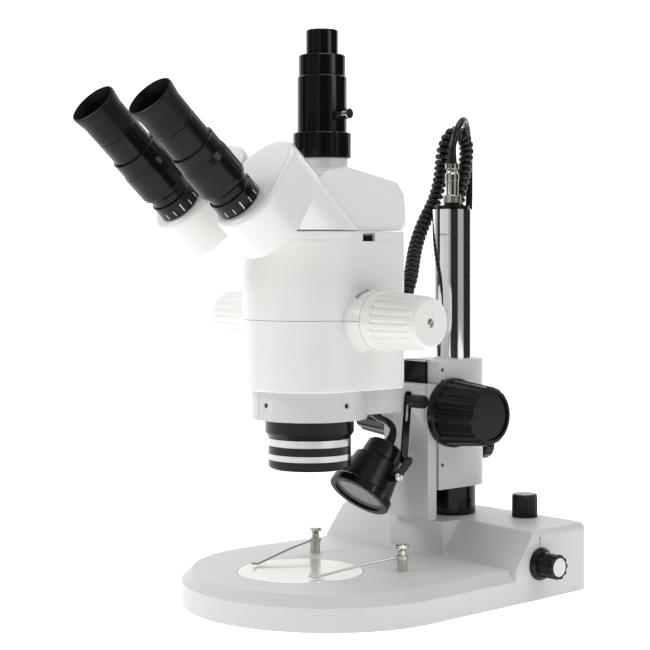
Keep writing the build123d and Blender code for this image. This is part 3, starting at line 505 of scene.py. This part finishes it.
def plate(bm, size, matrix, bevel=0.0):
    """Add one block to a mesh in the making, with bevelled edges if a bevel is given."""
    verts = bmesh.ops.create_cube(bm, size=1.0)["verts"]
    bmesh.ops.scale(bm, vec=size, verts=verts)
    if bevel:
        edges = {e for v in verts for e in v.link_edges}
        cut = bmesh.ops.bevel(bm, geom=list(edges), offset=bevel, segments=2, affect="EDGES")
        verts = list({v for f in cut["faces"] for v in f.verts} | {v for v in verts if v.is_valid})
    bmesh.ops.transform(bm, matrix=matrix, verts=verts)


def tube_axis(side):
    """Where an eyepiece's tube axis leaves its housing, and the way it points."""
    joint = JOINTS["dioptre_turn_" + side]
    return Vector(joint["pos_m"]), Vector(joint["axis"]).normalized()


EYE_LENS_AT = 0.0742        # up the tube's axis from its foot
EYE_LENS_DOME = [(0.0, 0.0016), (0.004, 0.0015), (0.008, 0.0009), (0.0108, 0.0001), (0.0109, -0.0002)]
EYE_LENS_RIM = [(0.0109, -0.0006), (0.0109, 0.0006), (0.0113, 0.0011), (0.0117, 0.0006),
                (0.0117, -0.0006)]


def eye_lenses():
    for side in ("right", "left"):
        foot, axis = tube_axis(side)
        at = foot + axis * EYE_LENS_AT
        body = "oculars_" + side
        lathe("eye_lens_" + side, EYE_LENS_DOME, at, axis, COATED, body)
        lathe("eye_lens_rim_" + side, EYE_LENS_RIM, at, axis, BLACK_GLOSS, body, close=True)


DIOPTRE_R = 0.01705         # the marks' distance from the axis
DIOPTRE_FROM = 0.0020       # where they start, up the axis
DIOPTRE_LINES = range(-7, 5)
DIOPTRE_STEP = 24           # degrees
LONG_LINE = (0.0007, 0.0064)        # width and length of every fifth line
SHORT_LINE = (0.0005, 0.0044)
LINE_THICK = 0.00012


def dioptre_scale():
    """White lines round the ring at each eyepiece's foot."""
    for side in ("right", "left"):
        foot, axis = tube_axis(side)
        turned = frame_along(foot, axis)
        bm = bmesh.new()
        for i in DIOPTRE_LINES:
            width, length = LONG_LINE if i % 5 == 0 else SHORT_LINE
            shift = Matrix.Translation((DIOPTRE_R, 0, DIOPTRE_FROM + length / 2))
            plate(bm, (LINE_THICK, width, length), turned @ turn_about_z(90 + DIOPTRE_STEP * i) @ shift)
        name = "dioptre_marks_" + side
        link(name, from_bmesh(bm, name), WHITE_INK, "dioptre_" + side, smooth=False)


HEX_SIDES = 24              # vertices round it, four to each side of its pit
HEX_LIP = 0.86              # shares of the screw's radius
HEX_REACH = 0.5
HEX_LIP_HEIGHT = 0.0002
HEX_EDGE_HEIGHT = 0.00015
HEX_DEPTH = 0.0014


def hexagon_radius(angle, corner):
    """How far a hexagon's edge is from its middle, at an angle."""
    return corner * math.cos(math.pi / 6) / math.cos((angle % (math.pi / 3)) - math.pi / 6)


def hex_screw(name, at, forward, radius, material, body):
    """A socket set screw seen end on: a domed rim and a six-sided pit."""
    bm = bmesh.new()
    outer = flat_ring(bm, radius, 0, HEX_SIDES)
    lip = [bm.verts.new((HEX_LIP * v.co.x, HEX_LIP * v.co.y, HEX_LIP_HEIGHT)) for v in outer]
    edge = []
    for angle in circle_angles(HEX_SIDES):
        reach = hexagon_radius(angle, HEX_REACH * radius)
        edge.append(bm.verts.new((reach * math.cos(angle), reach * math.sin(angle), HEX_EDGE_HEIGHT)))
    pit = [bm.verts.new((v.co.x, v.co.y, -HEX_DEPTH)) for v in edge]
    join_rings(bm, [outer, lip, edge, pit])
    bm.faces.new(pit)
    mesh = from_bmesh(bm, name)
    mesh.transform(frame_along(at, forward))
    link(name, mesh, material, body, smooth=False)


RING_R = 0.0423             # the ring's flats, where its set screws sit
RING_SCREW_R = 0.0019
RING_SCREW_SUNK = 0.0012
RING_SCREW_Z = 0.151
RING_SCREW_AT = (-90.0, 0.0, 180.0)


def ring_screws():
    axis_at = Vector(JOINTS["scope_turn"]["pos_m"])
    for i, angle in enumerate(RING_SCREW_AT):
        out = Vector((math.cos(math.radians(angle)), math.sin(math.radians(angle)), 0))
        at = Vector((axis_at.x, axis_at.y, RING_SCREW_Z)) + out * (RING_R - RING_SCREW_SUNK)
        hex_screw(f"ring_screw_{i + 1}", at, out, RING_SCREW_R, DARK_HOLE, "carriage")


SLOT_SIDES = 40
SLOT_HALF = 0.14            # half its width, as a share of the head's radius
SLOT_DEPTH = 0.0006
SLOT_TURN = 0.4             # radians
HEAD_PROFILE = [(1.0, 0.0), (1.0, 0.0003), (0.93, 0.00055), (0.6, 0.0007), (0.25, 0.00075)]


def slotted_screw(name, at, forward, radius, material, body):
    """A round-headed screw with one slot."""
    bm = bmesh.new()
    rings = []
    for share, height in HEAD_PROFILE:
        ring = []
        for angle in circle_angles(SLOT_SIDES):
            x = radius * share * math.cos(angle)
            y = radius * share * math.sin(angle)
            in_slot = abs(y) < radius * SLOT_HALF and height > 0
            ring.append(bm.verts.new((x, y, height - (SLOT_DEPTH if in_slot else 0))))
        rings.append(ring)
    join_rings(bm, rings)
    bm.faces.new(rings[-1])
    mesh = from_bmesh(bm, name)
    mesh.transform(frame_along(at, forward) @ Matrix.Rotation(SLOT_TURN, 4, "Z"))
    link(name, mesh, material, body, smooth=False)


ZOOM_SCREW_R = 0.0029
ZOOM_SEAT_R = 0.0033
ZOOM_SEAT_SUNK = 0.0018     # below the knob's end
ZOOM_SCREW_LIFT = 0.0001    # above its seat


def zoom_knob_screws():
    for side, sign in (("right", 1), ("left", -1)):
        low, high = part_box("zoom_knob_" + side)
        centre = (low + high) / 2
        end = high.x if sign > 0 else low.x
        out = Vector((sign, 0, 0))
        seat = Vector((end - sign * ZOOM_SEAT_SUNK, centre.y, centre.z))
        lathe(f"zoom_screw_seat_{side}", [(0, 0.0), (ZOOM_SEAT_R, 0.0)], seat, out, DARK_HOLE, "zoom")
        head = seat + out * ZOOM_SCREW_LIFT
        slotted_screw(f"zoom_screw_{side}", head, out, ZOOM_SCREW_R, STEEL, "zoom")


eye_lenses()
dioptre_scale()
ring_screws()
zoom_knob_screws()


# ---- painted marks and windows ------------------------------------------------------------------
DIGIT_THICK = 0.00004


def digit(name, text, size, matrix, material, body):
    """A plain number, a hair thick, laid on a surface."""
    curve = bpy.data.curves.new(name, "FONT")
    curve.body = text
    curve.size = size
    curve.align_x = "CENTER"
    curve.align_y = "CENTER"
    curve.extrude = DIGIT_THICK
    holder = bpy.data.objects.new(name, curve)
    mesh = bpy.data.meshes.new_from_object(holder)
    bpy.data.objects.remove(holder)
    bpy.data.curves.remove(curve)
    mesh.transform(matrix)
    mesh.name = name
    link(name, mesh, material, body, smooth=False)


def side_frame(at):
    """Local X towards +Y and local Y up, on a face that looks along +X."""
    x = Vector((0, 1, 0))
    turn = Matrix((x, UP, x.cross(UP))).transposed().to_4x4()
    return Matrix.Translation(at) @ turn


SWITCH_PLACES = {"0": 150, "1": 120, "2": 90}       # degrees, from +Y towards +Z
SWITCH_REACH = 0.0194       # from the wall to the cap's face
SWITCH_MARK = (0.0022, 0.0006, 0.00016)
SWITCH_MARK_R = 0.0152
SWITCH_DIGIT_R = 0.0190
SWITCH_DIGIT = 0.0042
POINTER = (0.012, 0.0009, 0.0003)
POINTER_BEVEL = 0.0001
POINTER_BACK = 0.0075       # from the knob's end back to the pointer's middle
POINTER_UP = 0.0094


def switch_marks():
    """Position marks and digits round the rotary switch, and the white line on its grip."""
    axis = Vector(JOINTS["switch_turn"]["pos_m"])
    wall_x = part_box("switch_cap")[1].x - SWITCH_REACH
    dial = side_frame(Vector((wall_x, axis.y, axis.z)))
    shift = Matrix.Translation((SWITCH_MARK_R, 0, 0))
    bm = bmesh.new()
    for angle in SWITCH_PLACES.values():
        plate(bm, SWITCH_MARK, dial @ turn_about_z(angle) @ shift)
    name = "switch_position_marks"
    link(name, from_bmesh(bm, name), BLACK_INK, "base", smooth=False)
    for text, angle in SWITCH_PLACES.items():
        at = Vector((wall_x, axis.y + SWITCH_DIGIT_R * math.cos(math.radians(angle)),
                     axis.z + SWITCH_DIGIT_R * math.sin(math.radians(angle))))
        digit("switch_digit_" + text, text, SWITCH_DIGIT, side_frame(at), BLACK_INK, "base")
    knob_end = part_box("switch_knob")[1].x
    grip = Vector((knob_end - POINTER_BACK, axis.y, axis.z + POINTER_UP))
    bm = bmesh.new()
    plate(bm, POINTER, Matrix.Translation(grip), bevel=POINTER_BEVEL)
    link("switch_pointer", from_bmesh(bm, "switch_pointer"), WHITE_INK, "switch", smooth=False)


DIMMER_EDGE = [(0.0084, -0.0002), (0.0093, -0.0010), (0.0096, -0.0006), (0.0091, 0.0), (0.0086, 0.0)]


def dimmer_rim():
    """Bright turned edge round the brightness knob's top."""
    centre = middle("dimmer_knob")
    top = Vector((centre.x, centre.y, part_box("dimmer_knob")[1].z))
    lathe("dimmer_bright_edge", DIMMER_EDGE, top, UP, SPUN, "dimmer", close=True)


DRUM_R = 0.0216             # the black strip in the zoom window, round the zoom axis
DRUM_NEAR = 0.0052          # its ends, from the knob's inner face
DRUM_FAR = 0.0128
DRUM_ARC = (30, 125)        # degrees from the front, which is -Y, upwards
SCALE_ARC = (47, 78)        # the white part of it
SCALE_MARGIN = 0.0012
SCALE_LIFT = 0.00008
SCALE_LINES = 7
SCALE_FIRST = 50            # degrees
SCALE_STEP = 4
SCALE_LONG = 0.0022         # every third line
SCALE_SHORT = 0.0013
SCALE_LINE_WIDE = 0.00035
SCALE_LINE_THICK = 0.00006
SCALE_LINE_AT = 0.0024      # middle of the lines, from the strip's inner edge
ARC_STEPS = 26


def drum_strip(name, axis, radius, x0, x1, arc, material):
    """Part of a drum's skin round the zoom axis, between an arc's two angles."""
    start, end = arc
    bm = bmesh.new()
    rows = []
    for i in range(ARC_STEPS + 1):
        angle = math.radians(start + (end - start) * i / ARC_STEPS)
        y = axis.y - radius * math.cos(angle)
        z = axis.z + radius * math.sin(angle)
        rows.append((bm.verts.new((x0, y, z)), bm.verts.new((x1, y, z))))
    join_pairs(bm, rows)
    link(name, from_bmesh(bm, name), material, "scope")


def zoom_scale():
    """The scale in the window over the right zoom knob. It is fixed in the body."""
    axis = Vector(JOINTS["zoom_turn"]["pos_m"])
    knob_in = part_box("zoom_knob_right")[0].x
    x0 = knob_in - DRUM_FAR
    x1 = knob_in - DRUM_NEAR
    face_r = DRUM_R + SCALE_LIFT
    drum_strip("zoom_drum", axis, DRUM_R, x0, x1, DRUM_ARC, BLACK_INK)
    drum_strip("zoom_scale_face", axis, face_r, x0 + SCALE_MARGIN, x1 - SCALE_MARGIN, SCALE_ARC,
               WHITE_INK)
    bm = bmesh.new()
    for i in range(SCALE_LINES):
        angle = math.radians(SCALE_FIRST + SCALE_STEP * i)
        out = Vector((0, -math.cos(angle), math.sin(angle)))
        at = Vector((x0 + SCALE_LINE_AT, axis.y, axis.z)) + out * (face_r + SCALE_LINE_THICK)
        size = (SCALE_LINE_WIDE, SCALE_LONG if i % 3 == 0 else SCALE_SHORT, SCALE_LINE_THICK)
        plate(bm, size, frame_along(at, out, up=Vector((1, 0, 0))))
    link("zoom_scale_marks", from_bmesh(bm, "zoom_scale_marks"), BLACK_INK, "scope", smooth=False)


LAMP_CUP = [(0.0195, -0.0014), (0.0185, -0.0030), (0.0120, -0.0110), (0.0050, -0.0140), (0.0, -0.0140)]
LAMP_DIODE = [(0.0, 0.0012), (0.0016, 0.0011), (0.0026, 0.0004), (0.0028, 0.0)]
LAMP_DIODE_BACK = 0.0138    # behind the middle of the glass


def lamp_inside():
    """Reflector cup and diode behind the lamp's glass."""
    aim = lamp_line()[1]
    glass_at = middle("lamp_window")
    lathe("lamp_reflector", LAMP_CUP, glass_at, aim, SPUN, "lamp")
    lathe("lamp_diode", LAMP_DIODE, glass_at - aim * LAMP_DIODE_BACK, aim, MILK, "lamp")


# a dark ring in the gap round the stage plate: painted shade, not a real part
GAP_SHADE_CLEARANCE = 0.00002        # between the stage plate and the dark ring of painted shade
GAP_SHADE_WIDE = 0.0002
GAP_SHADE_TOP = 0.0007         # below the plate's face
GAP_SHADE_FOOT = 0.0012


def stage_gap_painted_shade():
    """A dark ring down in the narrow gap round the stage plate: painted shade that darkens the gap."""
    low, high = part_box("stage_plate")
    centre = middle("stage_plate")
    inner = (high.x - low.x) / 2 + GAP_SHADE_CLEARANCE
    outer = inner + GAP_SHADE_WIDE
    ring = [(inner, -GAP_SHADE_FOOT), (inner, -GAP_SHADE_TOP), (outer, -GAP_SHADE_TOP), (outer, -GAP_SHADE_FOOT)]
    lathe("stage_gap_painted_shade", ring, Vector((centre.x, centre.y, high.z)), UP, RUBBER, "base",
          sides=128, close=True)


switch_marks()
dimmer_rim()
zoom_scale()
lamp_inside()
stage_gap_painted_shade()


# ---- room ---------------------------------------------------------------------------------------
FLOOR_REACH = 3.0           # to each side and towards the camera
WALL_AT = 2.2               # behind the object
WALL_TOP = 3.0
COVE_R = 0.9                # curve between the floor and the wall
COVE_STEPS = 12
PAPER_GLOW = 0.62


def backdrop():
    """White paper that runs from the floor up a wall behind the object, square to the camera."""
    profile = [(-FLOOR_REACH, 0.0), (WALL_AT - COVE_R, 0.0)]
    for i in range(1, COVE_STEPS + 1):
        angle = math.radians(90 * i / COVE_STEPS)
        profile.append((WALL_AT - COVE_R + COVE_R * math.sin(angle), COVE_R - COVE_R * math.cos(angle)))
    profile.append((WALL_AT, WALL_TOP))
    turn = turn_about_z(CAMERA_TURN)
    bm = bmesh.new()
    rows = []
    for y, z in profile:
        ends = [turn @ Vector((x, y, z)) for x in (-FLOOR_REACH, FLOOR_REACH)]
        rows.append([bm.verts.new(end) for end in ends])
    join_pairs(bm, rows)
    paper = surface("backdrop_paper", (0.95, 0.95, 0.95), 0.8, mottle=0.002, grain=0.0)
    shader = paper.node_tree.nodes["Principled BSDF"]
    socket(shader, "Emission Color", (1, 1, 1, 1))
    socket(shader, "Emission Strength", PAPER_GLOW)
    link("backdrop", from_bmesh(bm, "backdrop"), paper)


# standing cards round the set, out of the camera's sight, that the bright metal mirrors:
# where each starts and ends, degrees round from the camera, and how light it is
CARDS = [(-104, -80, 0.01), (-72, -20, 0.22), (-10, 34, 0.01), (70, 128, 0.01)]
CARD_REACH = 2.05
CARD_TOP = 0.9
CARD_STEPS = 8


def cards():
    for i, (start, end, shade) in enumerate(CARDS):
        bm = bmesh.new()
        rows = []
        for k in range(CARD_STEPS + 1):
            angle = math.radians(CAMERA_TURN - 90 + start + (end - start) * k / CARD_STEPS)
            x = CARD_REACH * math.cos(angle)
            y = CARD_REACH * math.sin(angle)
            rows.append((bm.verts.new((x, y, 0.0)), bm.verts.new((x, y, CARD_TOP))))
        join_pairs(bm, rows)
        name = f"card_{i + 1}"
        card = link(name, from_bmesh(bm, name), surface(name, (shade, shade, shade), 0.9, grain=0.0))
        card.visible_camera = False


# name, place, size and power; each looks at the middle of the object
LIGHTS = [
    ("key", (-0.75, -1.25, 1.15), (0.7, 0.7), 11),
    ("side", (1.5, 0.45, 0.95), (0.6, 0.9), 4.4),
    ("top", (0.1, 0.2, 1.6), (0.9, 0.9), 5),
]
LIT_POINT = (0, 0.06, 0.20)
SKY_COLOR = (0.97, 0.98, 1.0, 1)
SKY_STRENGTH = 0.42


def area_light(name, at, size, power):
    data = bpy.data.lights.new(name, "AREA")
    data.shape = "RECTANGLE"
    data.size = size[0]
    data.size_y = size[1]
    data.energy = power
    light = bpy.data.objects.new(name, data)
    bpy.context.scene.collection.objects.link(light)
    light.location = at
    light.rotation_euler = (Vector(LIT_POINT) - Vector(at)).to_track_quat("-Z", "Y").to_euler()


def sky():
    world = bpy.data.worlds.new("room")
    world.use_nodes = True
    background = world.node_tree.nodes["Background"]
    socket(background, "Color", SKY_COLOR)
    socket(background, "Strength", SKY_STRENGTH)
    bpy.context.scene.world = world


backdrop()
cards()
for light in LIGHTS:
    area_light(*light)
sky()

bpy.context.scene.view_settings.view_transform = "Standard"
